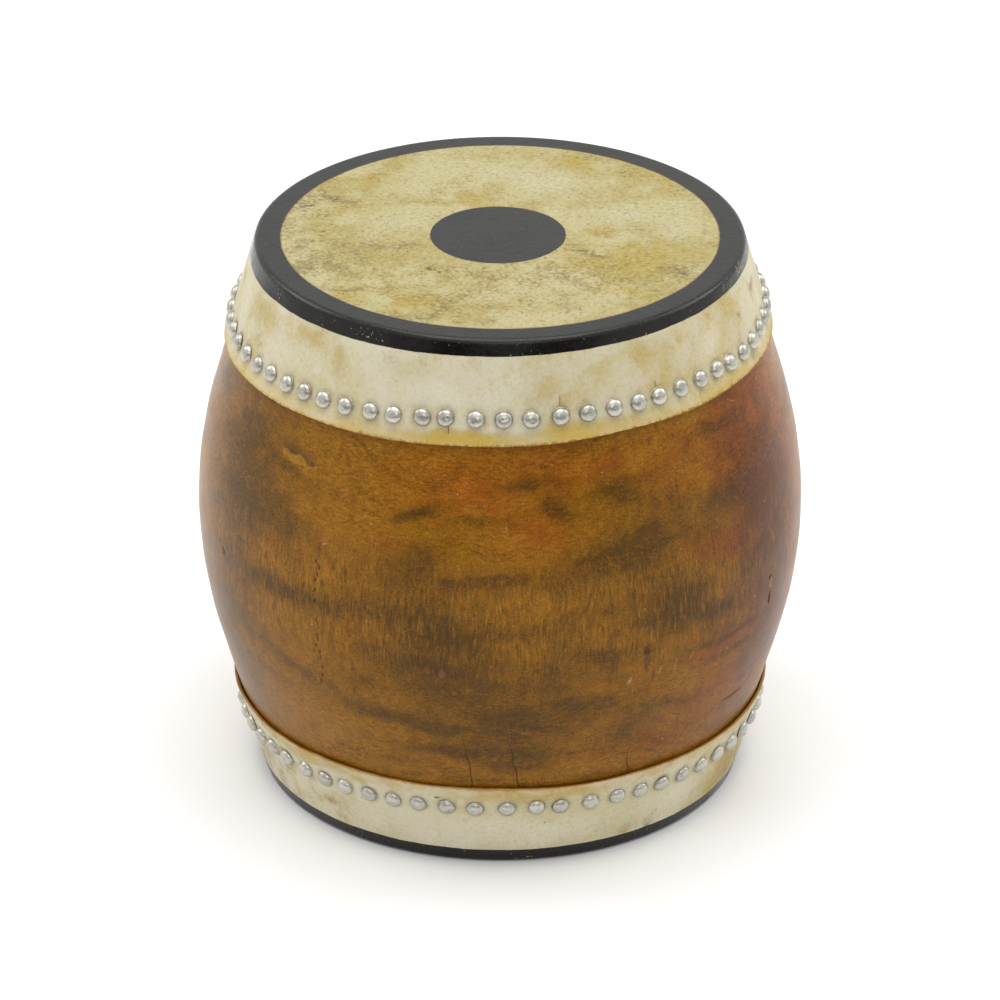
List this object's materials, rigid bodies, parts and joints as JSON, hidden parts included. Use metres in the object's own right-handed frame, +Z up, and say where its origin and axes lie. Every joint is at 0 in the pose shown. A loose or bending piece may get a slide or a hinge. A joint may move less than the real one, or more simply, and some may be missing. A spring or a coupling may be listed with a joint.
{
  "type": "barrel drum",
  "caption": "Barrel-shaped hand drum: a hollow turned wood shell with a rawhide head stretched over each end, held by rows of domed tacks; it stands on its lower head.",
  "frame": {"origin": "centre of the lower head's outer face, which is the bottom centre of the drum", "axes": "+Z up along the drum's axis from the lower head to the upper head, -Y is the front, +X is to the right seen from the front"},
  "size_m": [0.378, 0.378, 0.358],
  "materials": {
    "wood": "satin varnish",
    "rawhide": "dry matte rawhide with black painted bands",
    "tack_metal": "satin nickel"
  },
  "bodies": {
    "root": {"shell": "wood", "drumhead_top": "rawhide", "drumhead_bottom": "rawhide", "tack_top_01": "tack_metal", "tack_top_03": "tack_metal", "tack_top_05": "tack_metal", "tack_top_07": "tack_metal", "tack_top_09": "tack_metal", "tack_top_11": "tack_metal", "tack_top_13": "tack_metal", "tack_top_15": "tack_metal", "tack_top_17": "tack_metal", "tack_top_19": "tack_metal", "tack_top_21": "tack_metal", "tack_top_23": "tack_metal", "tack_top_25": "tack_metal", "tack_top_27": "tack_metal", "tack_top_29": "tack_metal", "tack_top_31": "tack_metal", "tack_top_33": "tack_metal", "tack_top_35": "tack_metal", "tack_top_37": "tack_metal", "tack_top_39": "tack_metal", "tack_top_41": "tack_metal", "tack_top_43": "tack_metal", "tack_top_45": "tack_metal", "tack_top_47": "tack_metal", "tack_top_49": "tack_metal", "tack_top_51": "tack_metal", "tack_top_53": "tack_metal", "tack_top_55": "tack_metal", "tack_top_57": "tack_metal", "tack_top_59": "tack_metal", "tack_top_61": "tack_metal", "tack_bottom_01": "tack_metal", "tack_bottom_04": "tack_metal", "tack_bottom_07": "tack_metal", "tack_bottom_10": "tack_metal", "tack_bottom_13": "tack_metal", "tack_bottom_16": "tack_metal", "tack_bottom_19": "tack_metal", "tack_bottom_22": "tack_metal", "tack_bottom_25": "tack_metal", "tack_bottom_28": "tack_metal", "tack_bottom_31": "tack_metal", "tack_bottom_34": "tack_metal", "tack_bottom_37": "tack_metal", "tack_bottom_40": "tack_metal", "tack_bottom_43": "tack_metal", "tack_bottom_46": "tack_metal", "tack_bottom_49": "tack_metal", "tack_bottom_52": "tack_metal", "tack_bottom_55": "tack_metal", "tack_bottom_58": "tack_metal"}
  },
  "joints": []
}
